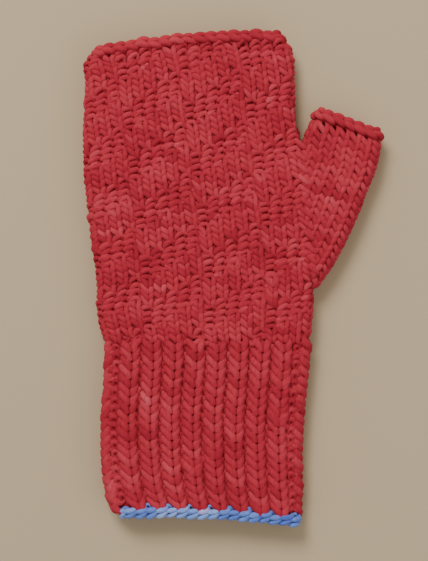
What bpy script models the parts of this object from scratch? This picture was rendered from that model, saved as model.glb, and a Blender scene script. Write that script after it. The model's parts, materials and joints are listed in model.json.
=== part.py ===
"""A hand-knitted fingerless mitt, lying flat with its thumb to the right.

Frame: metres, +X towards the thumb side, +Y towards the fingers, +Z up out of the
surface that the mitt lies on. The origin is under the middle of the whole mitt.

The mitt is a flattened tube of knitting. It is worked as a ribbed cuff, a palm section
with a thumb gusset let into its side, a finger section above the knuckles and a short
thumb tube, each finished with a chained edge. Every section is a loft of flat, round
sided rings with the thickness of the knitting put on its inside.
"""

import math

import bmesh
import bpy
import numpy as np
from mathutils import Vector

# Knitting
THICKNESS = 0.012  # both layers and the space between them
FABRIC = 0.0032  # one layer
ROUND = THICKNESS / 2  # radius of the folded sides
GAP = 0.0003  # between pieces that meet

# Heights along the mitt, at its left side
CUFF_END_Y = -0.1028
WRIST_Y = -0.0275
GUSSET_BASE_Y = -0.006
THUMB_SPLIT_Y = 0.058
KNUCKLE_Y = 0.072
FINGER_END_Y = 0.0975
EDGE_HEIGHT = 0.0046  # a chained edge

# Side outlines of the hand, as (y, x)
LEFT_SIDE = (
    (-0.110, -0.0520),
    (-0.098, -0.0565),
    (-0.070, -0.0592),
    (-0.032, -0.0576),
    (0.018, -0.0637),
    (0.055, -0.0674),
    (0.090, -0.0664),
    (0.105, -0.0645),
)
RIGHT_SIDE = (
    (-0.110, 0.0308),
    (-0.070, 0.0312),
    (-0.032, 0.0346),
    (GUSSET_BASE_Y, 0.0366),
    (THUMB_SPLIT_Y, 0.0302),
    (0.075, 0.0280),
    (0.095, 0.0278),
    (0.105, 0.0258),
)
CUFF_END_SLANT = -0.0038  # the cuff's end is lower at its right side
FINGER_END_RISE = 0.0072  # the finger end is higher at its right side
FINGER_END_BOW = 0.0034  # and bows upwards between its sides

# Where the seam that joins the gusset to the hand starts, on the thumb's fold
SEAM_START = Vector((0.0366, GUSSET_BASE_Y, ROUND))

# Thumb rows, each from its seam side (x, y) to its outer side (x, y)
GUSSET_ROWS = (
    ((0.0356, 0.0060), (0.0450, 0.0060)),
    ((0.0337, 0.0240), (0.0524, 0.0200)),
    ((0.0320, 0.0410), (0.0590, 0.0360)),
    ((0.0306, 0.0570), (0.0638, 0.0482)),
)
THUMB_ROWS = (
    ((0.0322, 0.0578), (0.0642, 0.0492)),
    ((0.0330, 0.0640), (0.0656, 0.0548)),
    ((0.0362, 0.0711), (0.0665, 0.0607)),
)
THUMB_EDGE_ROWS = (
    ((0.0364, 0.0714), (0.0666, 0.0610)),
    ((0.0379, 0.0757), (0.0679, 0.0653)),
)

# Room for the folds, each side of its line
HINGE_ROOM = 0.0038
SEAM_ROOM = 0.0020

# Woven-in yarn ends
YARN_RADIUS = 0.0013
YARN_END_LENGTH = 0.040
CAST_ON_YARN_END_Y = -0.0980
PALM_YARN_END_Y = 0.0180

ROUND_STEPS = 8
FLAT_STEPS = 6
RING_PITCH = 0.010

RED = (0.50, 0.045, 0.060)
BLUE = (0.24, 0.35, 0.66)


def clear_scene():
    for obj in list(bpy.data.objects):
        bpy.data.objects.remove(obj, do_unlink=True)


def wool(name, colour):
    material = bpy.data.materials.new(name)
    material.use_nodes = True
    shader = material.node_tree.nodes["Principled BSDF"]
    shader.inputs["Base Color"].default_value = (*colour, 1)
    shader.inputs["Roughness"].default_value = 0.9
    shader.inputs["Metallic"].default_value = 0
    return material


def side(outline, y):
    """The outline's x at height y, on a smooth curve through its points."""
    heights, xs = np.transpose(outline)
    slopes = np.gradient(xs, heights)
    i = int(np.clip(np.searchsorted(heights, y) - 1, 0, len(xs) - 2))
    span = heights[i + 1] - heights[i]
    t = (y - heights[i]) / span
    start = (1 + 2 * t) * (1 - t) ** 2 * xs[i] + t * (1 - t) ** 2 * span * slopes[i]
    end = t * t * (3 - 2 * t) * xs[i + 1] - t * t * (1 - t) * span * slopes[i + 1]
    return float(start + end)


def ring(left, right, bow=0.0):
    """Points round a flat tube with folded sides, between two points (x, y)."""
    left = Vector((*left, 0))
    right = Vector((*right, 0))
    width = (right - left).length
    turns = [math.pi * (i / ROUND_STEPS - 0.5) for i in range(ROUND_STEPS + 1)]
    flat = [i / FLAT_STEPS for i in range(1, FLAT_STEPS)]
    reach = width - 2 * ROUND
    path = [(width - ROUND + ROUND * math.cos(a), ROUND * math.sin(a)) for a in turns]
    path += [(width - ROUND - reach * f, ROUND) for f in flat]
    path += [(ROUND - ROUND * math.cos(a), -ROUND * math.sin(a)) for a in turns]
    path += [(ROUND + reach * f, -ROUND) for f in flat]
    points = []
    for along, height in path:
        share = along / width
        point = left.lerp(right, share)
        point.y += bow * 4 * share * (1 - share)
        point.z = ROUND + height
        points.append(point)
    return points


def hand_ring(y):
    """The hand's ring whose left side is at height y."""
    slant = 0.0
    bow = 0.0
    if y < WRIST_Y:
        slant = CUFF_END_SLANT * (WRIST_Y - y) / (WRIST_Y - CUFF_END_Y)
    if y > KNUCKLE_Y:
        share = (y - KNUCKLE_Y) / (FINGER_END_Y - KNUCKLE_Y)
        slant = FINGER_END_RISE * share
        bow = FINGER_END_BOW * share
    right_y = y + slant
    return ring((side(LEFT_SIDE, y), y), (side(RIGHT_SIDE, right_y), right_y), bow)


def heights(start, end, *between):
    """Ring heights about RING_PITCH apart, with one at each height in between."""
    stops = [start, *between, end]
    found = [start]
    for low, high in zip(stops, stops[1:]):
        count = max(1, round((high - low) / RING_PITCH))
        found += [low + (high - low) * (i + 1) / count for i in range(count)]
    return found


def loft(name, rings, is_open, material, origin):
    """A shell of the knitting's thickness over rings, without the faces is_open names."""
    mesh = bpy.data.meshes.new(name)
    bm = bmesh.new()
    rows = [[bm.verts.new(point - origin) for point in points] for points in rings]
    count = len(rings[0])
    for i, (low, high) in enumerate(zip(rows, rows[1:])):
        for k in range(count):
            if not is_open(i, k):
                after = (k + 1) % count
                bm.faces.new((low[k], high[k], high[after], low[after]))
    bmesh.ops.delete(bm, geom=[v for v in bm.verts if not v.link_faces], context="VERTS")
    bm.to_mesh(mesh)
    bm.free()
    mesh.materials.append(material)
    mesh.shade_smooth()
    mesh.set_sharp_from_angle(angle=math.radians(50))
    obj = bpy.data.objects.new(name, mesh)
    solid = obj.modifiers.new("knitting", "SOLIDIFY")
    solid.thickness = FABRIC
    solid.offset = -1
    solid.use_even_offset = True
    return obj


def closed(row, point):
    return False


def open_left(row, point):
    """The faces of the folded side at the left of every ring."""
    first = ROUND_STEPS + FLAT_STEPS
    return first <= point < first + ROUND_STEPS


def cuff_ribbing(material, origin):
    rings = [hand_ring(y) for y in heights(CUFF_END_Y, WRIST_Y - HINGE_ROOM)]
    return loft("cuff_ribbing", rings, closed, material, origin)


def cast_on_edge(material, origin):
    top = CUFF_END_Y - GAP
    rings = [hand_ring(top - EDGE_HEIGHT), hand_ring(top)]
    return rounded_edge(loft("cast_on_edge", rings, closed, material, origin))


def palm_section(material, origin):
    """The hand between wrist and knuckles, open at its right side along the gusset."""
    gusset_start = GUSSET_BASE_Y + ROUND
    levels = heights(
        WRIST_Y + HINGE_ROOM, KNUCKLE_Y - HINGE_ROOM, gusset_start, THUMB_SPLIT_Y
    )
    rings = [hand_ring(y) for y in levels]

    def open_at_gusset(row, point):
        middle = (levels[row] + levels[row + 1]) / 2
        return gusset_start < middle < THUMB_SPLIT_Y and point < ROUND_STEPS

    return loft("palm_section", rings, open_at_gusset, material, origin)


def finger_section(material, origin):
    rings = [hand_ring(y) for y in heights(KNUCKLE_Y + HINGE_ROOM, FINGER_END_Y)]
    return loft("finger_section", rings, closed, material, origin)


def finger_bind_off_edge(material, origin):
    bottom = FINGER_END_Y + GAP
    rings = [hand_ring(bottom), hand_ring(bottom + EDGE_HEIGHT)]
    edge = loft("finger_bind_off_edge", rings, closed, material, origin)
    return rounded_edge(edge)


def rounded_edge(obj):
    """Rounds the rims of a chained edge."""
    bevel = obj.modifiers.new("round", "BEVEL")
    bevel.width = FABRIC / 3
    bevel.segments = 2
    bevel.limit_method = "ANGLE"
    bevel.angle_limit = math.radians(60)
    return obj


def thumb_gusset(material, origin):
    """The gusset, open at its left side towards the palm."""
    inset = Vector((ROUND - SEAM_ROOM, 0))
    rings = [ring(Vector(near) - inset, far) for near, far in GUSSET_ROWS]
    return loft("thumb_gusset", rings, open_left, material, origin)


def thumb_tube(material, origin):
    rings = [ring(near, far) for near, far in THUMB_ROWS]
    return loft("thumb_tube", rings, closed, material, origin)


def thumb_bind_off_edge(material, origin):
    rings = [ring(near, far) for near, far in THUMB_EDGE_ROWS]
    edge = loft("thumb_bind_off_edge", rings, closed, material, origin)
    return rounded_edge(edge)


def yarn_end(name, points, material, origin):
    """A cut end of yarn, worked along the inside of a folded side."""
    curve = bpy.data.curves.new(name, "CURVE")
    curve.dimensions = "3D"
    curve.bevel_depth = YARN_RADIUS
    curve.bevel_resolution = 2
    curve.use_fill_caps = True
    spline = curve.splines.new("POLY")
    spline.points.add(len(points) - 1)
    for spot, point in zip(spline.points, points):
        spot.co = (*(point - origin), 1)
    curve.materials.append(material)
    return bpy.data.objects.new(name, curve)


def left_side_run(start, length):
    """Points just inside the hand's left fold, from height start upwards."""
    inset = ROUND - YARN_RADIUS / 2
    ys = np.linspace(start, start + length, 9)
    return [Vector((side(LEFT_SIDE, float(y)) + inset, float(y), ROUND)) for y in ys]


def thumb_side_run():
    """Points just inside the outer fold of the gusset."""
    inset = ROUND - YARN_RADIUS / 2
    return [
        Vector((far[0] - inset, far[1] + ROUND / 2, ROUND)) for near, far in GUSSET_ROWS[1:]
    ]


def axis_empty(name, location, parent=None):
    empty = bpy.data.objects.new(name, None)
    empty.empty_display_size = 0.02
    empty.location = location - (parent_place(parent) if parent else Vector())
    empty.parent = parent
    return empty


def parent_place(empty):
    place = Vector()
    while empty:
        place += empty.location
        empty = empty.parent
    return place


def main():
    clear_scene()
    collection = bpy.data.collections.new("fingerless_mitt")
    bpy.context.scene.collection.children.link(collection)
    red = wool("red_wool", RED)
    blue = wool("blue_wool", BLUE)

    rest = axis_empty("mitt", Vector())
    wrist = axis_empty("wrist_axis", Vector((-0.0115, WRIST_Y, ROUND)), rest)
    knuckle = axis_empty("knuckle_axis", Vector((-0.0190, KNUCKLE_Y, ROUND)), wrist)
    thumb = axis_empty("thumb_axis", SEAM_START, wrist)
    for empty in (rest, wrist, knuckle, thumb):
        collection.objects.link(empty)

    pieces = (
        (rest, cuff_ribbing, red),
        (rest, cast_on_edge, blue),
        (wrist, palm_section, red),
        (knuckle, finger_section, red),
        (knuckle, finger_bind_off_edge, red),
        (thumb, thumb_gusset, red),
        (thumb, thumb_tube, red),
        (thumb, thumb_bind_off_edge, red),
    )
    for parent, make, material in pieces:
        obj = make(material, parent_place(parent))
        obj.parent = parent
        collection.objects.link(obj)

    ends = (
        (rest, "cast_on_yarn_end", left_side_run(CAST_ON_YARN_END_Y, YARN_END_LENGTH), blue),
        (wrist, "palm_yarn_end", left_side_run(PALM_YARN_END_Y, YARN_END_LENGTH), red),
        (thumb, "thumb_yarn_end", thumb_side_run(), red),
    )
    for parent, name, points, material in ends:
        obj = yarn_end(name, points, material, parent_place(parent))
        obj.parent = parent
        collection.objects.link(obj)


main()
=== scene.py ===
"""The looks of a hand-knitted fingerless mitt, worked loop by loop in thick wool yarn.

Every row of knitting is a real yarn: a tube swept along the path of its stitches, which
interlock with the rows below and above. The rows lie on the surface of the flat, round
sided tubes that the frame gives, so the mitt keeps the frame's sizes. All in metres.
"""

import json
import math
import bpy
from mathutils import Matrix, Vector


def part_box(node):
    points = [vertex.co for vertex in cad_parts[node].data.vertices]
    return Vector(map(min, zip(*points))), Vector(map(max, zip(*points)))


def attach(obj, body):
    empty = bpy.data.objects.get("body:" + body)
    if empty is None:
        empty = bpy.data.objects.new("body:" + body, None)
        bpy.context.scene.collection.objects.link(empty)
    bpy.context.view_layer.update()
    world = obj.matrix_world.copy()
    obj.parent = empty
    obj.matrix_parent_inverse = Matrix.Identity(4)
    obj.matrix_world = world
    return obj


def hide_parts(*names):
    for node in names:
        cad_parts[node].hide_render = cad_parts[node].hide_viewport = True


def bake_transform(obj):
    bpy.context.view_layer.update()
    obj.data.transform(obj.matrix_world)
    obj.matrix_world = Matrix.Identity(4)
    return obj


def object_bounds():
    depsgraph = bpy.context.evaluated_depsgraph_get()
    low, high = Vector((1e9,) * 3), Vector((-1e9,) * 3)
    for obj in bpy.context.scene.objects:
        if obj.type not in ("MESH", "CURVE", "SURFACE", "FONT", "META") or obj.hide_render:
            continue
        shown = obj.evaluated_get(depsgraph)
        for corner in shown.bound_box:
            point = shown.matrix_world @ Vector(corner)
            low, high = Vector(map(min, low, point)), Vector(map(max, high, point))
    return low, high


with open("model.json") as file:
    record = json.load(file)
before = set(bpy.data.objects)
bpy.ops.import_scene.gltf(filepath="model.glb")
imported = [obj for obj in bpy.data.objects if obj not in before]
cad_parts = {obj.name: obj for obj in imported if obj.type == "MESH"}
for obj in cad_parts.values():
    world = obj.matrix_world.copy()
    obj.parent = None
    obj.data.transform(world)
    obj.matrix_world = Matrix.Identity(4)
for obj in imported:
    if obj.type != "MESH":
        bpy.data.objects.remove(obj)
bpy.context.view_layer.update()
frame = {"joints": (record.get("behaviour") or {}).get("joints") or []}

from types import SimpleNamespace

import bpy
import numpy as np
from mathutils import Vector

RNG = np.random.default_rng(11)

# The flattened tube of knitting
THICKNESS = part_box("palm_section")[1][2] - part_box("palm_section")[0][2]
MIDDLE = THICKNESS / 2
INSET = 0.0018  # from the outside to the middle of the fabric
FOLD = MIDDLE - INSET  # radius of the folded sides, at the middle of the fabric

# Stitches
HAND_STITCHES = 35  # round the tube
HAND_ROWS = 46
PALM_LOWER_ROWS = 18  # of the hand's, in the lower of the two pieces that make the palm
PALM_ROWS = 36  # in both of them; the rest belongs to the finger section
FRONT_STITCHES = 17.8  # of the hand's, from the left side to the right side or the seam
FRONT_STITCHES_TOP = 17.2  # the same at the finger end, where the tube has turned a little
UNIT = 5  # stitches in one repeat of the pattern
STEP_ROWS = 4  # rows of knit before rows of purl
UNIT_START = 3.8  # where a repeat starts on the front, in stitches from the left side
UNIT_START_TOP = 2.7  # the same at the finger end
TURN_START_Y = 0.056  # the tube turns from here up
TURN_END = 1.1  # of the way to the finger end; the bound-off edge lies a little past it
UNIT_RISE = 0.0024  # rows climb by this in each repeat, and drop back at its end
UNIT_DROP = 0.10  # of a repeat, at its start and its end, in which a row drops back
RISE_START_ROWS = 3  # over which the rise grows, above the cuff
RISE_END_ROWS = 2  # over which it fades, at the finger end
CUFF_ROWS = 19
RIBS = 9  # on the front, and as many on the back; a rib runs along each folded side
RIB_GUTTER = 0.10  # of the way from one rib to the next
OPEN_GUTTER = 0.39  # the same next to a folded side, where the bend opens it
RIB_DEPTH = 0.0017
RIB_ROUNDNESS = 2.5  # the power by which a rib falls off to its gutters
OPEN_GUTTER_FILL = 0.45  # of the depth, by which an open gutter is shallower
OPEN_GUTTER_REACH = 0.12  # of the cuff's width, from the folded side
RIB_TURN = 0.020  # of the cuff's width, how far its edge has turned to the right
UPRIGHT_RELIEF = 0.00030  # of knit over purl, where they lie side by side
LEVEL_RELIEF = 0.00025  # of purl over knit, where they lie above each other
THUMB_STITCHES = 7  # on the front, and as many on the back
GUSSET_ROWS = 18
THUMB_ROWS = 4
LEAST_REACH = 0.6  # stitches in the shortest row of the gusset, on each layer
LEAST_STITCH = 0.3  # of a stitch; less than this left over at the seam isn't knitted
TUBE_OPEN_ROW = GUSSET_ROWS - 1  # where the thumb's inner side starts to close
TUBE_CLOSED_ROW = GUSSET_ROWS + 1.5
OPEN_END_MARGIN = 0.04  # of a stitch, between the yarn and the ends of an open row

# Stitches that sew the gusset to the hand
SEAM_PLACES = np.linspace(0.15, 1.03, 12)  # along the seam
SEAM_WIDTH = 0.0046  # from end to end, across the seam
SEAM_SLANT = 0.0048  # from end to end, along the seam
SEAM_ARCH = 0.0016  # of their middle, out of the fabric
SEAM_TUCK = 0.0016  # of their ends, into the fabric
SEAM_SLACK = 0.0002  # one standard deviation of their width and slant
SEAM_SHIFT = 0.0003  # one standard deviation of their place along the seam
SEAM_YARN = 0.00130

# Cut ends of yarn, woven in
END_YARN = 0.0011
END_SWING = 0.0002  # to each side
END_WAVE = 0.010  # length of one swing there and back
END_POINTS = 40

# How uneven the knitting is. Each slack is one standard deviation.
LIFT_SLACK = 0.00018
WIDTH_SLACK = 0.04  # of a stitch
ROW_SLACK = 0.08  # of a row
YARN_SLACK = 0.07  # of the yarn's radius
SLUB_START = 1.3  # standard deviations, past which the yarn of a stitch is a slub
SLUB = 0.35  # of the yarn's radius, which it gains over the next standard deviation
YARN_PRESS = 0.10  # of its radius: knit is thinner at its heads and feet, purl at its legs

SAMPLES = 14  # points on the yarn in each stitch
SIDES = 8  # of the yarn
TURN = np.linspace(-math.pi, math.pi, SAMPLES, endpoint=False)  # along one stitch

# How the yarn of a stitch runs. lean opens its loop and skew shifts its head to the left,
# in stitch widths, which makes the left leg slant and the right leg upright. reach is the
# loop's half height, in rows, and slant lifts the right side of its head: tilt does it in
# purl, whose heads and feet show as bumps. depth is how far the yarn swings through the
# fabric, and roll brings the feet of its legs to the front. purl thins the yarn in purl.
HAND_YARN = SimpleNamespace(
    radius=0.00120, lean=0.225, skew=0.15, reach=0.98, slant=0.08, tilt=0.75, depth=0.0010,
    roll=0.0002, purl=1.0,
)
CUFF_YARN = SimpleNamespace(
    radius=0.00156, lean=0.235, skew=0.13, reach=0.98, slant=0.06, tilt=0.10, depth=0.0009,
    roll=0.0002, purl=0.7,
)
THUMB_YARN = SimpleNamespace(
    radius=0.00124, lean=0.280, skew=0.22, reach=0.98, slant=0.15, tilt=0.15, depth=0.0010,
    roll=0.0002, purl=1.0,
)


# ---------------------------------------------------------------- places in the frame

def mesh_points(node):
    mesh = bpy.data.objects[node].data
    points = np.empty(len(mesh.vertices) * 3)
    mesh.vertices.foreach_get("co", points)
    return points.reshape(-1, 3)


RING_GAP = 0.002  # rings of the frame's meshes are further apart than this
FOLD_BAND = 0.0002  # height of the band at a folded side that holds its outermost points


def rings(points):
    """Points of a long part, grouped into the rings it was drawn with along y."""
    points = points[np.argsort(points[:, 1])]
    return np.split(points, np.nonzero(np.diff(points[:, 1]) > RING_GAP)[0] + 1)


def fold_points(node, side, middle=None):
    """The outermost points (x, y) of a node's folded side, one for each of its rings."""
    low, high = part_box(node)
    middle = (low[0] + high[0]) / 2 if middle is None else middle
    points = mesh_points(node)
    on_fold = (np.abs(points[:, 2] - MIDDLE) < FOLD_BAND) & (side * (points[:, 0] - middle) > 0)
    outermost = [ring[np.argmax(side * ring[:, 0])] for ring in rings(points[on_fold])]
    return np.array(outermost)[:, :2]


def smooth_curve(at, knots, values):
    """A smooth curve through values at knots, which runs straight on past its ends."""
    slopes = np.gradient(values, knots)
    inside = np.clip(at, knots[0], knots[-1])
    i = np.clip(np.searchsorted(knots, inside) - 1, 0, len(knots) - 2)
    span = knots[i + 1] - knots[i]
    t = (inside - knots[i]) / span
    start = (1 + 2 * t) * (1 - t) ** 2 * values[i] + t * (1 - t) ** 2 * span * slopes[i]
    end = t * t * (3 - 2 * t) * values[i + 1] - t * t * (1 - t) * span * slopes[i + 1]
    beyond = (at - inside) * np.where(at < knots[0], slopes[0], slopes[-1])
    return start + end + beyond


def ramp(value, start, end):
    """0 before start, 1 after end, smooth between."""
    t = np.clip((value - start) / (end - start), 0, 1)
    return t * t * (3 - 2 * t)


def joint_place(name):
    """The position and axis of a joint."""
    joint = next(joint for joint in frame["joints"] if joint["name"] == name)
    return np.array(joint["pos_m"]), np.array(joint["axis"])


HAND_NODES = ("cuff_ribbing", "palm_section", "finger_section")
LEFT_SIDE = np.concatenate([fold_points(node, -1) for node in HAND_NODES])
RIGHT_SIDE = np.concatenate([fold_points(node, 1) for node in HAND_NODES])
CUFF_END_Y, FINGER_END_Y = LEFT_SIDE[0, 1], LEFT_SIDE[-1, 1]
CUFF_SLANT = RIGHT_SIDE[0, 1] - CUFF_END_Y
FINGER_RISE = RIGHT_SIDE[-1, 1] - FINGER_END_Y
FINGER_BOW = 0.0026  # the finger end's rise in its middle
CUFF_BOW = 0.0020  # the same at the cuff's edge
CORNER_BULGE = 0.0015  # of the left side, just below the finger end
CORNER_DROP = 0.0020  # of its middle, below the finger end
CORNER_REACH = 0.0040  # from its middle, up and down
PALM_BULGE = 0.0022  # of the left side, just above the cuff
PALM_BULGE_Y = -0.015
PALM_BULGE_REACH = 0.010  # from its middle, up and down
INNER_FULLNESS = 0.0012  # of the thumb's inner side
WRIST_Y = joint_place("wrist_bend")[0][1]

SEAM_START, THUMB_AXIS = joint_place("thumb_fold")
GUSSET_OUTER = fold_points("thumb_gusset", 1, middle=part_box("thumb_gusset")[0][0])
TUBE_OUTER = fold_points("thumb_tube", 1)
TUBE_INNER = fold_points("thumb_tube", -1)
SEAM_LENGTH = (TUBE_INNER[0, 1] - SEAM_START[1]) / -THUMB_AXIS[1]
SEAM_END = SEAM_START - THUMB_AXIS * SEAM_LENGTH

# Heights between which the hand's right side opens for the gusset, and closes above it
GUSSET_OPEN = (SEAM_START[1] + 0.0035, SEAM_START[1] + 0.0085)
GUSSET_CLOSED = (SEAM_END[1] - 0.003, SEAM_END[1] + 0.006)


# ---------------------------------------------------------------- surfaces of the mitt

def flat_tube(left, right, share, layer, lift, fold_left, fold_right):
    """Points and normals on a flattened tube, lift above the middle of its fabric.

    left and right are its outermost points (x, y), share runs from 0 at the left to 1
    at the right, and layer is 1 on the front and -1 on the back. A side whose fold is 0
    is open, and the fabric stops there flat.
    """
    across = right - left
    width = np.linalg.norm(across, axis=-1)
    direction = across / width[..., None]
    flat = width - (INSET + FOLD) * (fold_left + fold_right)
    quarter = math.pi / 2 * FOLD
    start = quarter * fold_left
    end = start + flat
    arc = share * (end + quarter * fold_right)
    on_left = arc < start
    on_right = arc > end
    angle = math.pi / 2 - np.where(on_left, start - arc, np.where(on_right, arc - end, 0)) / FOLD
    lean = np.where(on_left, -np.cos(angle), np.where(on_right, np.cos(angle), 0))
    along = (INSET + FOLD) * fold_left + np.clip(arc - start, 0, flat) + (FOLD + lift) * lean
    flat_points = left + direction * along[..., None]
    height = MIDDLE + layer * (FOLD + lift) * np.sin(angle)
    points = np.concatenate([flat_points, height[..., None]], axis=-1)
    up = (layer * np.sin(angle))[..., None]
    normals = np.concatenate([direction * lean[..., None], up], axis=-1)
    return points, normals


def hand_surface(column, y, lift, front, total):
    """The hand and cuff: y is the height of a row at the left side.

    column counts stitches from the left side over the front, with front of them there
    and total of them round the tube.
    """
    column = column % total
    on_front = column <= front
    share = np.where(on_front, column / front, (total - column) / (total - front))
    layer = np.where(on_front, 1.0, -1.0)
    below = np.clip((WRIST_Y - y) / (WRIST_Y - CUFF_END_Y), 0, None)
    above = np.clip((y - WRIST_Y) / (FINGER_END_Y - WRIST_Y), 0, None)
    right_y = y + CUFF_SLANT * below + FINGER_RISE * above
    bulge = PALM_BULGE * np.exp(-(((y - PALM_BULGE_Y) / PALM_BULGE_REACH) ** 2))
    from_corner = (y - FINGER_END_Y + CORNER_DROP) / CORNER_REACH
    bulge = bulge + CORNER_BULGE * np.exp(-(from_corner**2))
    left_x = smooth_curve(y, LEFT_SIDE[:, 1], LEFT_SIDE[:, 0]) - bulge
    left = np.stack([left_x, y], axis=-1)
    right_x = smooth_curve(right_y, RIGHT_SIDE[:, 1], RIGHT_SIDE[:, 0])
    right = np.stack([right_x, right_y], axis=-1)
    is_open = ramp(y, *GUSSET_OPEN) * (1 - ramp(y, *GUSSET_CLOSED))
    points, normals = flat_tube(left, right, share, layer, lift, np.ones_like(y), 1 - is_open)
    across = (points[..., 0] - left[..., 0]) / (right[..., 0] - left[..., 0])
    points[..., 1] += (FINGER_BOW * above + CUFF_BOW * below) * 4 * across * (1 - across)
    return points, normals


def hand_y(row):
    """The height of a row of the hand at the left side."""
    return WRIST_Y + (FINGER_END_Y - WRIST_Y) * row / HAND_ROWS


def cuff_y(row):
    """The height of a row of the cuff at the left side."""
    return CUFF_END_Y + (WRIST_Y - CUFF_END_Y) * row / CUFF_ROWS


def turned(y, low, top):
    """A count of stitches that changes where the tube turns, towards the finger end."""
    share = np.clip((y - TURN_START_Y) / (FINGER_END_Y - TURN_START_Y), 0, TURN_END)
    return low + (top - low) * share


def unit_rise(stitch):
    """The climb of a row inside a repeat, and its drop where the next repeat starts."""
    place = (stitch / UNIT) % 1
    return UNIT_RISE * np.interp(place, (0, UNIT_DROP, 1 - UNIT_DROP, 1), (0, -0.5, 0.5, 0))


def hand_fabric(stitch, row, lift):
    """A place in the hand's knitting: its stitch counted from the start of a repeat."""
    y = hand_y(row)
    fade = ramp(row, 0, RISE_START_ROWS) * (1 - ramp(row, HAND_ROWS - RISE_END_ROWS, HAND_ROWS))
    column = stitch + turned(y, UNIT_START, UNIT_START_TOP)
    front = turned(y, FRONT_STITCHES, FRONT_STITCHES_TOP)
    lift = lift + chart_relief(stitch, row)
    points, normals = hand_surface(column, y, lift, front, HAND_STITCHES)
    points[..., 1] += unit_rise(stitch) * fade
    return points, normals


def rib_edges():
    """The edges of a layer's knit and purl columns, from 0 at its start to 1."""
    knit = 1 - RIB_GUTTER
    gutters = np.full(RIBS, RIB_GUTTER)
    gutters[[0, -1]] = OPEN_GUTTER
    widths = np.stack([gutters, np.full(RIBS, knit)], axis=1).ravel()
    widths[-1] = knit / 2
    places = knit / 2 + np.concatenate([[0], np.cumsum(widths)])
    return places[:-1] / places[-1]


# The cuff's columns count from 0 to 1 over the front, and on to 2 over the back
RIB_EDGES = np.concatenate([rib_edges(), 1 + rib_edges()])
RIB_EDGES = np.concatenate([[RIB_EDGES[-1] - 2], RIB_EDGES])
RIB_SIGNS = np.tile([1.0, -1.0], 2 * RIBS)


def rib_surface(column, row, lift):
    """A place in the cuff, whose purl columns sink between its knit ribs."""
    edges = np.concatenate([RIB_EDGES, [RIB_EDGES[1] + 2]])
    phase = np.interp(column % 2, edges, np.arange(len(edges)))
    knit_phase = (phase - 0.5) % 2
    away = np.minimum(knit_phase, 2 - knit_phase)
    half_knit = 0.5
    gutter = np.where(away < half_knit, (away / half_knit) ** RIB_ROUNDNESS, 1.0)
    from_side = ((column + 0.5) % 1 - 0.5) / OPEN_GUTTER_REACH
    depth = RIB_DEPTH * (1 - OPEN_GUTTER_FILL * np.exp(-(from_side**2)))
    column = column + RIB_TURN * (1 - row / CUFF_ROWS) ** 2
    return hand_surface(column, cuff_y(row), lift - depth * gutter, 1, 2)


# Outer side of the gusset and thumb, from the seam's start to the thumb's end
thumb_outer = np.concatenate([SEAM_START[None, :2], GUSSET_OUTER, TUBE_OUTER[1:]])
outer_steps = np.linalg.norm(np.diff(thumb_outer, axis=0), axis=1)
outer_lengths = np.concatenate([[0], np.cumsum(outer_steps)])
tube_start = outer_lengths[len(GUSSET_OUTER)]
OUTER_ROWS = np.where(
    outer_lengths <= tube_start,
    outer_lengths / tube_start * GUSSET_ROWS,
    GUSSET_ROWS + (outer_lengths - tube_start) / (outer_lengths[-1] - tube_start) * THUMB_ROWS,
)


def thumb_sides(row):
    """The outermost points of the gusset and thumb at a row."""
    outer = [smooth_curve(row, OUTER_ROWS, thumb_outer[:, i]) for i in (0, 1)]
    tube_rows = GUSSET_ROWS + THUMB_ROWS / 2 * np.arange(4)  # its rings, and one past its end
    inner_rows = np.array([0, *tube_rows])
    beyond = 2 * TUBE_INNER[2] - TUBE_INNER[1]
    tube_points = np.array([*TUBE_INNER[1:], beyond]) - (INNER_FULLNESS, 0)
    inner_points = np.array([SEAM_START[:2], SEAM_END[:2], *tube_points])
    inner = [np.interp(row, inner_rows, inner_points[:, i]) for i in (0, 1)]
    return np.stack(inner, axis=-1), np.stack(outer, axis=-1)


def front_arc(left, right, folds):
    """The way over the front from the left to the right, with a number of folded sides."""
    width = np.linalg.norm(right - left, axis=-1)
    return width - (INSET + FOLD) * folds + math.pi / 2 * FOLD * folds


def thumb_fold_left(row):
    """0 on the gusset, which is open at the seam, and 1 on the tube, which is closed."""
    return ramp(row, TUBE_OPEN_ROW, TUBE_CLOSED_ROW)


thumb_end_row = np.array(float(GUSSET_ROWS + THUMB_ROWS))
THUMB_PITCH = front_arc(*thumb_sides(thumb_end_row), 2) / THUMB_STITCHES
THUMB_ROW_PITCH = (outer_lengths[-1] - tube_start) / THUMB_ROWS


def thumb_reach(row):
    """Stitches between the outer side and the seam, or the inner side of the tube."""
    left, right = thumb_sides(row)
    return front_arc(left, right, 1 + thumb_fold_left(row)) / THUMB_PITCH


def thumb_surface(column, row, lift):
    """The gusset and thumb: column counts stitches from the outer side, back positive."""
    left, right = thumb_sides(row)
    share = np.clip(1 - np.abs(column) / thumb_reach(row), 0, 1)
    layer = np.where(column <= 0, 1.0, -1.0)
    return flat_tube(left, right, share, layer, lift, thumb_fold_left(row), np.ones_like(share))


# ---------------------------------------------------------------- the pattern

def is_knit(row, stitch):
    """The hand's pattern of steps: 1 for knit, -1 for purl."""
    from_top = HAND_ROWS - 1 - row
    step = (from_top + stitch % UNIT - STEP_ROWS) % (2 * STEP_ROWS)
    return np.where(step < STEP_ROWS, 1.0, -1.0)


CHART = is_knit(np.arange(HAND_ROWS)[:, None], np.arange(HAND_STITCHES)[None, :])


def chart_heights():
    """Knit stands out along the upright edges of its blocks, and purl along level ones."""
    beside = (np.roll(CHART, 1, axis=1) + np.roll(CHART, -1, axis=1)) / 2
    padded = np.concatenate([CHART[:1], CHART, CHART[-1:]])
    over = (padded[:-2] + padded[2:]) / 2
    return UPRIGHT_RELIEF * (CHART - beside) - LEVEL_RELIEF * (CHART - over)


CHART_HEIGHTS = chart_heights()


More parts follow.
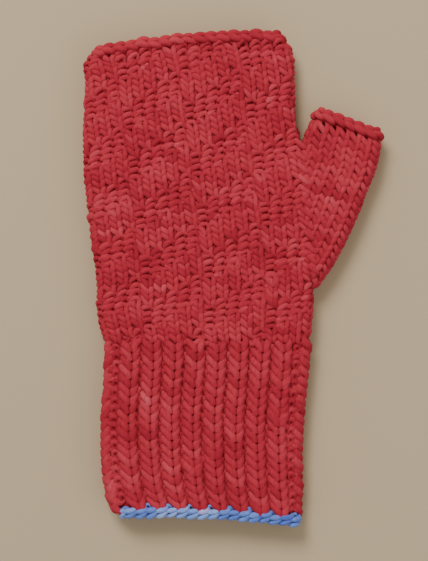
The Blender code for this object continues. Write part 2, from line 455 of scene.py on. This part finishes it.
def chart_relief(stitch, row):
    """The height of the fabric at a place, between the middles of its stitches."""
    just_short = 0.001  # of the last row, so that there is always a next one
    i = np.clip(row - 0.5, 0, HAND_ROWS - 1 - just_short)
    k = (stitch - 0.5) % HAND_STITCHES
    low_i, low_k = i.astype(int), k.astype(int)
    share_i, share_k = i - low_i, k - low_k
    next_k = (low_k + 1) % HAND_STITCHES
    grid = CHART_HEIGHTS
    low = grid[low_i, low_k] * (1 - share_k) + grid[low_i, next_k] * share_k
    high = grid[low_i + 1, low_k] * (1 - share_k) + grid[low_i + 1, next_k] * share_k
    return low * (1 - share_i) + high * share_i - UPRIGHT_RELIEF


# ---------------------------------------------------------------- yarn

def stitch_row(edges, row, knit, above, yarn, surface, closed=True):
    """Points, normals and radii along one row of stitches between edges.

    knit and above hold 1 for a knit stitch and -1 for a purl one, in this row and in the
    next. surface takes a column, a row and a lift.
    """
    width = np.diff(edges)[:, None]
    centre = (edges[:-1] + edges[1:])[:, None] / 2
    count = len(width)
    before = np.roll(np.arange(count), 1)
    after = np.roll(np.arange(count), -1)
    if not closed:
        before[0] = 0
        after[-1] = count - 1
    knit, above = knit[:, None], above[:, None]
    half = (1 + np.cos(2 * TURN)) / 2
    head = np.where(np.abs(TURN) <= math.pi / 2, half, 0)
    feet = np.where(np.abs(TURN) > math.pi / 2, half, 0)
    beside = np.where(TURN < 0, knit[before], knit[after])
    beside_width = np.where(TURN < 0, width[before], width[after])
    in_head, in_feet = head * above, feet * (knit + beside) / 2
    level = knit * (1 - head - feet) - in_head - in_feet
    around = knit * (1 - head - feet) + in_head + in_feet
    slant = yarn.slant + (yarn.tilt - yarn.slant) * (1 - around) / 2
    slack = RNG.normal(0, 1, (4, count, 1)) * (0.5 + 0.5 * np.cos(TURN))
    lift = yarn.depth * level - yarn.roll * knit * (np.cos(TURN) - np.cos(3 * TURN))
    lift = lift + LIFT_SLACK * slack[0]
    local_width = width + (beside_width - width) / 2 * feet
    column = centre + width * TURN / (2 * math.pi) + yarn.lean * width * np.sin(2 * TURN)
    column = column - yarn.skew * local_width * np.cos(TURN)
    column = column + WIDTH_SLACK * width.mean() * slack[1]
    if not closed:
        column = np.clip(column, edges[0] + OPEN_END_MARGIN, edges[-1] - OPEN_END_MARGIN)
    height = row + 0.5 + yarn.reach * np.cos(TURN) + slant * np.sin(2 * TURN) / 2
    height = height + ROW_SLACK * slack[2]
    radius = yarn.radius * (1 - YARN_PRESS * around * np.cos(2 * TURN))
    radius = radius * (1 + YARN_SLACK * slack[3]) * (1 + (yarn.purl - 1) * (1 - knit) / 2)
    radius = radius * (1 + SLUB * np.clip(RNG.normal(0, 1, (count, 1)) - SLUB_START, 0, 1))
    points, normals = surface(column.ravel(), height.ravel(), lift.ravel())
    return points, normals, radius.ravel()


def yarn_tube(points, normals, radii, closed):
    """Vertices, faces, yarn coordinates and length of a tube swept along points."""
    count = len(points)
    if closed:
        ahead, behind = np.roll(points, -1, axis=0), np.roll(points, 1, axis=0)
    else:
        ahead = np.concatenate([points[1:], points[-1:]])
        behind = np.concatenate([points[:1], points[:-1]])
    tangent = ahead - behind
    tangent /= np.linalg.norm(tangent, axis=1, keepdims=True)
    across = np.cross(tangent, normals)
    across /= np.linalg.norm(across, axis=1, keepdims=True)
    upward = np.cross(across, tangent)
    angle = 2 * math.pi * np.arange(SIDES) / SIDES
    ring = -np.cos(angle)[:, None] * upward[:, None] + np.sin(angle)[:, None] * across[:, None]
    verts = points[:, None] + ring * radii[:, None, None]
    start = np.arange(count if closed else count - 1)[:, None]
    side = np.arange(SIDES)[None, :]
    end, next_side = (start + 1) % count, (side + 1) % SIDES
    corners = (start * SIDES + side, start * SIDES + next_side,
               end * SIDES + next_side, end * SIDES + side)
    faces = np.stack(corners, axis=-1).reshape(-1, 4)
    step = np.linalg.norm(np.diff(points, axis=0, append=points[:1]), axis=1)
    length = np.concatenate([[0], np.cumsum(step)])
    around = np.broadcast_to(side / SIDES, (len(start), SIDES))
    low = np.broadcast_to(length[start], around.shape)
    high = np.broadcast_to(length[start + 1], around.shape)
    wider = around + 1 / SIDES
    uvs = np.stack([around, low, wider, low, wider, high, around, high], axis=-1)
    return verts.reshape(-1, 3), faces, uvs.reshape(-1, 4, 2), length[-1]


def make_yarn(name, runs, material):
    """One object from yarn runs (points, normals, radii, closed)."""
    verts, faces, uvs, ends = [], [], [], []
    offset, spent = 0, 0.0
    for points, normals, radii, closed in runs:
        run_verts, run_faces, run_uvs, length = yarn_tube(points, normals, radii, closed)
        run_uvs = run_uvs + (0, spent)
        verts.append(run_verts)
        faces.append(run_faces + offset)
        uvs.append(run_uvs)
        if not closed:
            first = np.arange(SIDES)
            ends.append(first[::-1] + offset)
            ends.append(first + offset + len(run_verts) - SIDES)
        offset += len(run_verts)
        spent += length
    verts, faces, uvs = (np.concatenate(part) for part in (verts, faces, uvs))
    loops = np.concatenate([faces.ravel(), *ends]) if ends else faces.ravel()
    starts = np.arange(len(faces)) * 4
    cap_starts = len(faces) * 4 + np.arange(len(ends)) * SIDES
    mesh = bpy.data.meshes.new(name)
    mesh.vertices.add(len(verts))
    mesh.vertices.foreach_set("co", verts.ravel())
    mesh.loops.add(len(loops))
    mesh.loops.foreach_set("vertex_index", loops)
    mesh.polygons.add(len(starts) + len(cap_starts))
    mesh.polygons.foreach_set("loop_start", np.concatenate([starts, cap_starts]))
    layer = mesh.uv_layers.new(name="yarn")
    coordinates = np.zeros((len(loops), 2))
    coordinates[: len(uvs) * 4] = uvs.reshape(-1, 2)
    layer.data.foreach_set("uv", coordinates.ravel())
    mesh.update(calc_edges=True)
    mesh.shade_smooth()
    mesh.materials.append(material)
    obj = bpy.data.objects.new(name, mesh)
    bpy.context.scene.collection.objects.link(obj)
    return obj


def hand_runs(first, last):
    """The hand's rows from first up to last, open at the gusset's seam where it is."""
    runs = []
    seam_stitch = round(FRONT_STITCHES - UNIT_START)
    for row in range(first, last):
        y = hand_y(row + 0.5)
        closed = not GUSSET_OPEN[0] < y < GUSSET_CLOSED[1]
        stitches = np.arange(HAND_STITCHES + 1) + (0 if closed else seam_stitch)
        knit = CHART[row][stitches[:-1] % HAND_STITCHES]
        above = CHART[min(row + 1, HAND_ROWS - 1)][stitches[:-1] % HAND_STITCHES]
        run = stitch_row(stitches, row, knit, above, HAND_YARN, hand_fabric, closed)
        runs.append((*run, closed))
    return runs


def cuff_runs():
    """The cuff's rows, wide knit stitches and narrow purl stitches in turn."""
    return [
        (*stitch_row(RIB_EDGES, row, RIB_SIGNS, RIB_SIGNS, CUFF_YARN, rib_surface), True)
        for row in range(CUFF_ROWS)
    ]


def thumb_runs(first, last):
    """Rows of the gusset, open at the seam, and of the thumb's tube."""
    runs = []
    for row in range(first, last):
        closed = row >= GUSSET_ROWS
        reach = float(thumb_reach(np.array(row + 0.5)))
        if reach < LEAST_REACH:
            continue
        count = THUMB_STITCHES if closed else max(1, math.ceil(reach - LEAST_STITCH))
        edges = np.arange(-count, count + 1) * (reach / count if closed else 1.0)
        knit = np.ones(2 * count)
        run = stitch_row(edges, row, knit, knit, THUMB_YARN, thumb_surface, closed)
        runs.append((*run, closed))
    return runs


# A chain's links: width is the chain's, tilt turns its face from the outside of the mitt
# towards the edge, heading is 1 where the loops point to the right, and tuck sinks the
# ends of a link inside the fabric. The rest is as for the stitches.
LINK_END = 2.5
LINK_TURN = np.linspace(-LINK_END, LINK_END, 16)
LINK_SLACK = 0.05  # one standard deviation of a link's width, length and yarn
LINK_SHIFT = 0.0003  # one standard deviation of its place
LINK_THIN = 0.70  # of the yarn's radius, at the head of a link
LINK_THICKENING = 0.35  # of the yarn's radius, from there to its legs
BIND_OFF_CHAIN = SimpleNamespace(
    radius=0.00150, width=0.0048, lean=0.2, skew=0.10, reach=0.72, depth=0.0008, tuck=0.0014,
    tilt=math.radians(42), heading=1,
)
CAST_ON_CHAIN = SimpleNamespace(
    radius=0.00122, width=0.0040, lean=0.2, skew=-0.34, reach=0.74, depth=0.0006, tuck=0.0010,
    tilt=math.radians(20), heading=-1,
)


def chain_runs(count, chain, surface):
    """Links of a chain round an edge. surface takes a place along it, a rise and a lift."""
    runs = []
    for link in range(count):
        slack = RNG.normal(size=4)
        width, reach, radius = np.array([chain.width, chain.reach, chain.radius]) * (
            1 + LINK_SLACK * slack[[0, 1, 3]]
        )
        shares = LINK_TURN / (2 * math.pi) + chain.lean * np.sin(2 * LINK_TURN)
        across = width * (shares - chain.skew * np.cos(LINK_TURN))
        out = -chain.depth * np.cos(2 * LINK_TURN) - chain.tuck * (LINK_TURN / LINK_END) ** 6
        rise = across * math.cos(chain.tilt) + out * math.sin(chain.tilt)
        lift = out * math.cos(chain.tilt) - across * math.sin(chain.tilt)
        place = link + 0.5 + chain.heading * reach * np.cos(LINK_TURN)
        points, normals = surface(place, rise + LINK_SHIFT * slack[2], lift)
        radii = radius * (LINK_THIN + LINK_THICKENING * np.sin(LINK_TURN) ** 2)
        runs.append((points, normals, radii, False))
    return runs


def past(node, edge, side):
    """How far an edge's node reaches past the node that it ends, above (1) or below (0)."""
    return abs(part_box(edge)[side][1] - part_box(node)[side][1])


# How far the middle of each chain lies past the fabric's end. The number taken off is how
# far the chain reaches beyond its own middle.
FINGER_RIM = past("finger_section", "finger_bind_off_edge", 1) - 0.0031
CUFF_RIM = past("cuff_ribbing", "cast_on_edge", 0) - 0.0033
THUMB_RIM = past("thumb_tube", "thumb_bind_off_edge", 1) - 0.0011
CUFF_LINKS = 36  # of the chain round the cuff's edge
CAST_ON_LIFT = 0.0009  # the chain lies a little outside the ribs that hang on it
CAST_ON_PULL = 0.962  # the chain is a little narrower than the fabric
CAST_ON_MIDDLE = 0.012  # the chain is drawn in towards this x
BIND_OFF_PULL = 0.955  # the same for the bound-off edge


def finger_rim(place, rise, lift):
    """The edge at the finger end: place counts links from the left side over the front."""
    y = FINGER_END_Y + FINGER_RIM + rise
    points, normals = hand_surface(place, y, lift, FRONT_STITCHES_TOP, HAND_STITCHES)
    middle = (LEFT_SIDE[-1, 0] + RIGHT_SIDE[-1, 0]) / 2
    points[:, 0] = middle + BIND_OFF_PULL * (points[:, 0] - middle)
    return points, normals


def cuff_rim(place, rise, lift):
    """The edge of the cuff: place counts links from the left side over the front."""
    front_links = CUFF_LINKS / 2
    y = CUFF_END_Y - CUFF_RIM - rise
    points, normals = hand_surface(place / front_links, y, lift + CAST_ON_LIFT, 1, 2)
    points[:, 0] = CAST_ON_MIDDLE + CAST_ON_PULL * (points[:, 0] - CAST_ON_MIDDLE)
    return points, normals


def thumb_rim(place, rise, lift):
    """The edge of the thumb: place counts links from the outer side over the back."""
    row = GUSSET_ROWS + THUMB_ROWS + (THUMB_RIM + rise) / THUMB_ROW_PITCH
    column = (place + THUMB_STITCHES) % (2 * THUMB_STITCHES) - THUMB_STITCHES
    return thumb_surface(column, row, lift)


# The loops of the first yarn in the cuff's gutters. Places are in widths of the cuff.
LOOP_END = 1.52
LOOP_TURN = np.linspace(-LOOP_END, LOOP_END, 10)
LOOP_HEIGHT = 0.0026
LOOP_HEIGHT_SLACK = 0.0008  # one standard deviation
LOOP_REACH = 0.022
LOOP_SLACK = 0.006  # one standard deviation
LOOP_DROP = 0.0012  # of its feet, below the cuff's end
LOOP_SINK = 0.0006  # of its feet, into the fabric
LOOP_ARCH = 0.0012  # of its head, out of the fabric from there
LOOP_YARN = 0.00065


def cast_on_loops():
    """Small loops of the first yarn, which show in the cuff's purl columns."""
    runs = []
    for edge in range(1, len(RIB_EDGES), 2):
        middle = RIB_EDGES[edge : edge + 2].mean() + RIB_TURN
        height = LOOP_HEIGHT + LOOP_HEIGHT_SLACK * RNG.normal()
        column = middle + LOOP_REACH * LOOP_TURN / LOOP_END + LOOP_SLACK * RNG.normal()
        y = CUFF_END_Y - LOOP_DROP + height * np.cos(LOOP_TURN)
        lift = LOOP_ARCH * np.cos(LOOP_TURN) - LOOP_SINK
        points, normals = hand_surface(column, y, lift, 1, 2)
        runs.append((points, normals, np.full(len(LOOP_TURN), LOOP_YARN), False))
    return runs


SEAM_RIGHT = np.array([-THUMB_AXIS[1], THUMB_AXIS[0], 0])  # across the seam, to the thumb


def seam_runs(layer):
    """Stitches that draw the gusset to the hand, slanted over the seam on one layer."""
    runs = []
    reach = np.linspace(-1, 1, 12)
    seam = SEAM_END - SEAM_START
    for place in SEAM_PLACES:
        slack = RNG.normal(size=3)
        middle = SEAM_START + seam * place
        across = (SEAM_WIDTH / 2 + SEAM_SLACK * slack[0]) * reach
        along = -(SEAM_SLANT + SEAM_SLACK * slack[1]) / 2 * reach + SEAM_SHIFT * slack[2]
        bend = SEAM_ARCH * (1 - reach**4) - SEAM_TUCK * reach**8
        points = middle + across[:, None] * SEAM_RIGHT - along[:, None] * THUMB_AXIS
        points[:, 2] = MIDDLE + layer * (FOLD + bend)
        normals = np.tile((0, 0, layer), (len(reach), 1)).astype(float)
        runs.append((points, normals, np.full(len(reach), SEAM_YARN), False))
    return runs


def woven_end(node):
    """A cut end of yarn, which wanders along the middle of its node."""
    middles = np.array([ring.mean(axis=0) for ring in rings(mesh_points(node))])
    y = np.linspace(middles[0, 1], middles[-1, 1], END_POINTS)
    x = smooth_curve(y, middles[:, 1], middles[:, 0])
    waves = 2 * math.pi * y / END_WAVE
    z = MIDDLE + END_SWING * np.cos(waves)
    points = np.stack([x + END_SWING * np.sin(waves), y, z], axis=-1)
    normals = np.tile((0.0, 0.0, 1.0), (len(y), 1))
    return [(points, normals, np.full(len(y), END_YARN), False)]


# ---------------------------------------------------------------- materials

class Nodes:
    """Adds nodes to a material and links them."""

    def __init__(self, name):
        self.material = bpy.data.materials.new(name)
        self.material.use_nodes = True
        self.tree = self.material.node_tree
        self.shader = self.tree.nodes["Principled BSDF"]

    def feed(self, socket, value):
        if isinstance(value, bpy.types.NodeSocket):
            self.tree.links.new(value, socket)
        else:
            socket.default_value = value

    def math(self, operation, *values):
        node = self.tree.nodes.new("ShaderNodeMath")
        node.operation = operation
        for socket, value in zip(node.inputs, values):
            self.feed(socket, value)
        return node.outputs[0]

    def join(self, x, y, z):
        node = self.tree.nodes.new("ShaderNodeCombineXYZ")
        for socket, value in zip(node.inputs, (x, y, z)):
            self.feed(socket, value)
        return node.outputs[0]

    def noise(self, vector, scale, detail, roughness=0.5):
        node = self.tree.nodes.new("ShaderNodeTexNoise")
        self.feed(node.inputs["Vector"], vector)
        node.inputs["Scale"].default_value = scale
        node.inputs["Detail"].default_value = detail
        node.inputs["Roughness"].default_value = roughness
        return node.outputs["Fac"]

    def colours(self, share, *stops):
        """Colours along a ramp, from stops (place, colour)."""
        node = self.tree.nodes.new("ShaderNodeValToRGB")
        ramp_stops = node.color_ramp.elements
        while len(ramp_stops) < len(stops):
            ramp_stops.new(1.0)
        for stop, (place, colour) in zip(ramp_stops, stops):
            stop.position = place
            stop.color = (*colour, 1)
        self.feed(node.inputs["Fac"], share)
        return node.outputs["Color"]

    def multiply(self, first, second):
        """The product of two colours."""
        node = self.tree.nodes.new("ShaderNodeMix")
        node.data_type = "RGBA"
        node.blend_type = "MULTIPLY"
        self.feed(node.inputs[0], 1.0)
        self.feed(node.inputs[6], first)
        self.feed(node.inputs[7], second)
        return node.outputs[2]

    def bump(self, height, strength, distance):
        node = self.tree.nodes.new("ShaderNodeBump")
        node.inputs["Strength"].default_value = strength
        node.inputs["Distance"].default_value = distance
        self.feed(node.inputs["Height"], height)
        self.feed(self.shader.inputs["Normal"], node.outputs["Normal"])


FIBRE_TWIST = 90  # turns in a metre of yarn
FIBRE_STRETCH = 250  # noise cells in a metre along the fibres
FIBRE_RELIEF = 0.0003
DYE_PATCH = 22  # changes of the dye in a metre of yarn


def wool(name, dye, dark, light, sheen):
    """Softly twisted wool: fibres that wind round the yarn, and a dye that varies on it.

    dye is a list of stops (place, colour) for the changes along the yarn. dark is painted
    shade in the hollows between its fibres, and light tints their crests.
    """
    nodes = Nodes(name)
    uv = nodes.tree.nodes.new("ShaderNodeUVMap")
    uv.uv_map = "yarn"
    split = nodes.tree.nodes.new("ShaderNodeSeparateXYZ")
    nodes.feed(split.inputs[0], uv.outputs[0])
    around, along = split.outputs[0], split.outputs[1]
    turns = nodes.math("ADD", around, nodes.math("MULTIPLY", along, FIBRE_TWIST))
    angle = nodes.math("MULTIPLY", turns, 2 * math.pi)
    across = (nodes.math("COSINE", angle), nodes.math("SINE", angle))
    stretched = nodes.math("MULTIPLY", along, FIBRE_STRETCH)
    fibres = nodes.noise(nodes.join(*across, stretched), scale=2.6, detail=4, roughness=0.62)
    patches = nodes.join(nodes.math("MULTIPLY", along, DYE_PATCH), 0.5, 0.5)
    dyed = nodes.noise(patches, scale=1.0, detail=3)
    colour = nodes.colours(dyed, *dye)
    # painted shade: the hollows between the fibres are darker, by the same noise that bumps them
    shade = nodes.colours(fibres, (0.30, dark), (0.70, light))
    nodes.feed(nodes.shader.inputs["Base Color"], nodes.multiply(colour, shade))
    nodes.bump(fibres, strength=0.6, distance=FIBRE_RELIEF)
    nodes.shader.inputs["Roughness"].default_value = 0.92
    nodes.shader.inputs["Specular IOR Level"].default_value = 0.0
    nodes.shader.inputs["Sheen Weight"].default_value = 0.20
    nodes.shader.inputs["Sheen Roughness"].default_value = 0.5
    nodes.shader.inputs["Sheen Tint"].default_value = (*sheen, 1)
    return nodes.material


RED_WOOL = wool(
    "red_wool",
    dye=(
        (0.34, (0.37, 0.021, 0.037)),
        (0.50, (0.47, 0.032, 0.051)),
        (0.66, (0.54, 0.050, 0.071)),
        (0.80, (0.62, 0.098, 0.129)),
    ),
    # painted shade in the hollows between the fibres
    dark=(0.72, 0.66, 0.68),
    light=(1.0, 1.0, 1.0),
    sheen=(1.0, 0.25, 0.28),
)
BLUE_WOOL = wool(
    "blue_wool",
    dye=(
        (0.34, (0.10, 0.16, 0.55)),
        (0.50, (0.20, 0.32, 0.72)),
        (0.62, (0.36, 0.50, 0.86)),
        (0.72, (0.62, 0.50, 0.72)),
    ),
    # painted shade in the hollows between the fibres
    dark=(0.45, 0.52, 0.72),
    light=(1.0, 1.0, 1.0),
    sheen=(0.8, 0.9, 1.0),
)


# ---------------------------------------------------------------- the mitt


cuff = make_yarn("knitted_cuff", cuff_runs(), RED_WOOL)
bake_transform(cuff)
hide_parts("cuff_ribbing")

palm_lower = make_yarn("knitted_palm_lower", hand_runs(0, PALM_LOWER_ROWS), RED_WOOL)
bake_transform(palm_lower)
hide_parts("palm_section")

palm_upper = make_yarn("knitted_palm_upper", hand_runs(PALM_LOWER_ROWS, PALM_ROWS), RED_WOOL)
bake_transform(palm_upper)

fingers = make_yarn("knitted_fingers", hand_runs(PALM_ROWS, HAND_ROWS), RED_WOOL)
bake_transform(fingers)
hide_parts("finger_section")

gusset_runs = thumb_runs(0, GUSSET_ROWS) + seam_runs(1) + seam_runs(-1)
gusset = make_yarn("knitted_gusset", gusset_runs, RED_WOOL)
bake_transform(gusset)
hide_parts("thumb_gusset")

thumb = make_yarn("knitted_thumb", thumb_runs(GUSSET_ROWS, GUSSET_ROWS + THUMB_ROWS), RED_WOOL)
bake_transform(thumb)
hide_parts("thumb_tube")


def edge_piece(name, runs, material, body, node):
    """A knitted piece that rides on one body and stands for one node of the frame."""
    piece = make_yarn(name, runs, material)
    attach(piece, body)
    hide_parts(node)


finger_chain = chain_runs(HAND_STITCHES, BIND_OFF_CHAIN, finger_rim)
edge_piece(
    "finger_chain", finger_chain, RED_WOOL, "fingers", "finger_bind_off_edge"
)
thumb_chain = chain_runs(2 * THUMB_STITCHES, BIND_OFF_CHAIN, thumb_rim)
edge_piece("thumb_chain", thumb_chain, RED_WOOL, "thumb", "thumb_bind_off_edge")
cuff_chain = chain_runs(CUFF_LINKS, CAST_ON_CHAIN, cuff_rim) + cast_on_loops()
edge_piece("cast_on_chain", cuff_chain, BLUE_WOOL, "cuff", "cast_on_edge")
for node, body, material, slot in (
    ("cast_on_yarn_end", "cuff", BLUE_WOOL, "blue_wool"),
    ("palm_yarn_end", "palm", RED_WOOL, "red_wool"),
    ("thumb_yarn_end", "thumb", RED_WOOL, "red_wool"),
):
    edge_piece("woven_" + node, woven_end(node), material, body, node)


# ---------------------------------------------------------------- the studio

CAMERA_CENTRE = (-0.00855, -0.0008)
CAMERA_HEIGHT = 0.70  # above the middle of the mitt
VIEW_HEIGHT = 0.25245  # what the camera sees from top to bottom at that distance
FLOOR_SIZE = 3
FLOOR_COLOUR = (0.485, 0.368, 0.225, 1)

camera_data = bpy.data.cameras.new("camera")
camera_data.lens = camera_data.sensor_width * CAMERA_HEIGHT / VIEW_HEIGHT
camera = bpy.data.objects.new("camera", camera_data)
camera.location = (*CAMERA_CENTRE, CAMERA_HEIGHT + MIDDLE)
bpy.context.scene.collection.objects.link(camera)
bpy.context.scene.camera = camera

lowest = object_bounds()[0][2]
bpy.ops.mesh.primitive_plane_add(size=FLOOR_SIZE, location=(0, 0, lowest))
floor = bpy.context.object
floor.name = "floor"
paper = bpy.data.materials.new("paper")
paper.use_nodes = True
paper_shader = paper.node_tree.nodes["Principled BSDF"]
paper_shader.inputs["Base Color"].default_value = FLOOR_COLOUR
paper_shader.inputs["Roughness"].default_value = 0.9
floor.data.materials.append(paper)


def area_light(name, place, size, power):
    """A square light that points at the mitt, with its power in watts."""
    data = bpy.data.lights.new(name, "AREA")
    data.size = size
    data.energy = power
    light = bpy.data.objects.new(name, data)
    light.location = place
    light.rotation_euler = (-Vector(place)).to_track_quat("-Z", "Y").to_euler()
    bpy.context.scene.collection.objects.link(light)


area_light("key", place=(-0.455, 0.975, 1.17), size=0.65, power=23.5)
area_light("fill", place=(0.8, -0.6, 0.9), size=1.0, power=4)
world = bpy.data.worlds.new("studio")
world.use_nodes = True
background = world.node_tree.nodes["Background"]
background.inputs["Color"].default_value = (1, 1, 1, 1)
background.inputs["Strength"].default_value = 0.5
bpy.context.scene.world = world
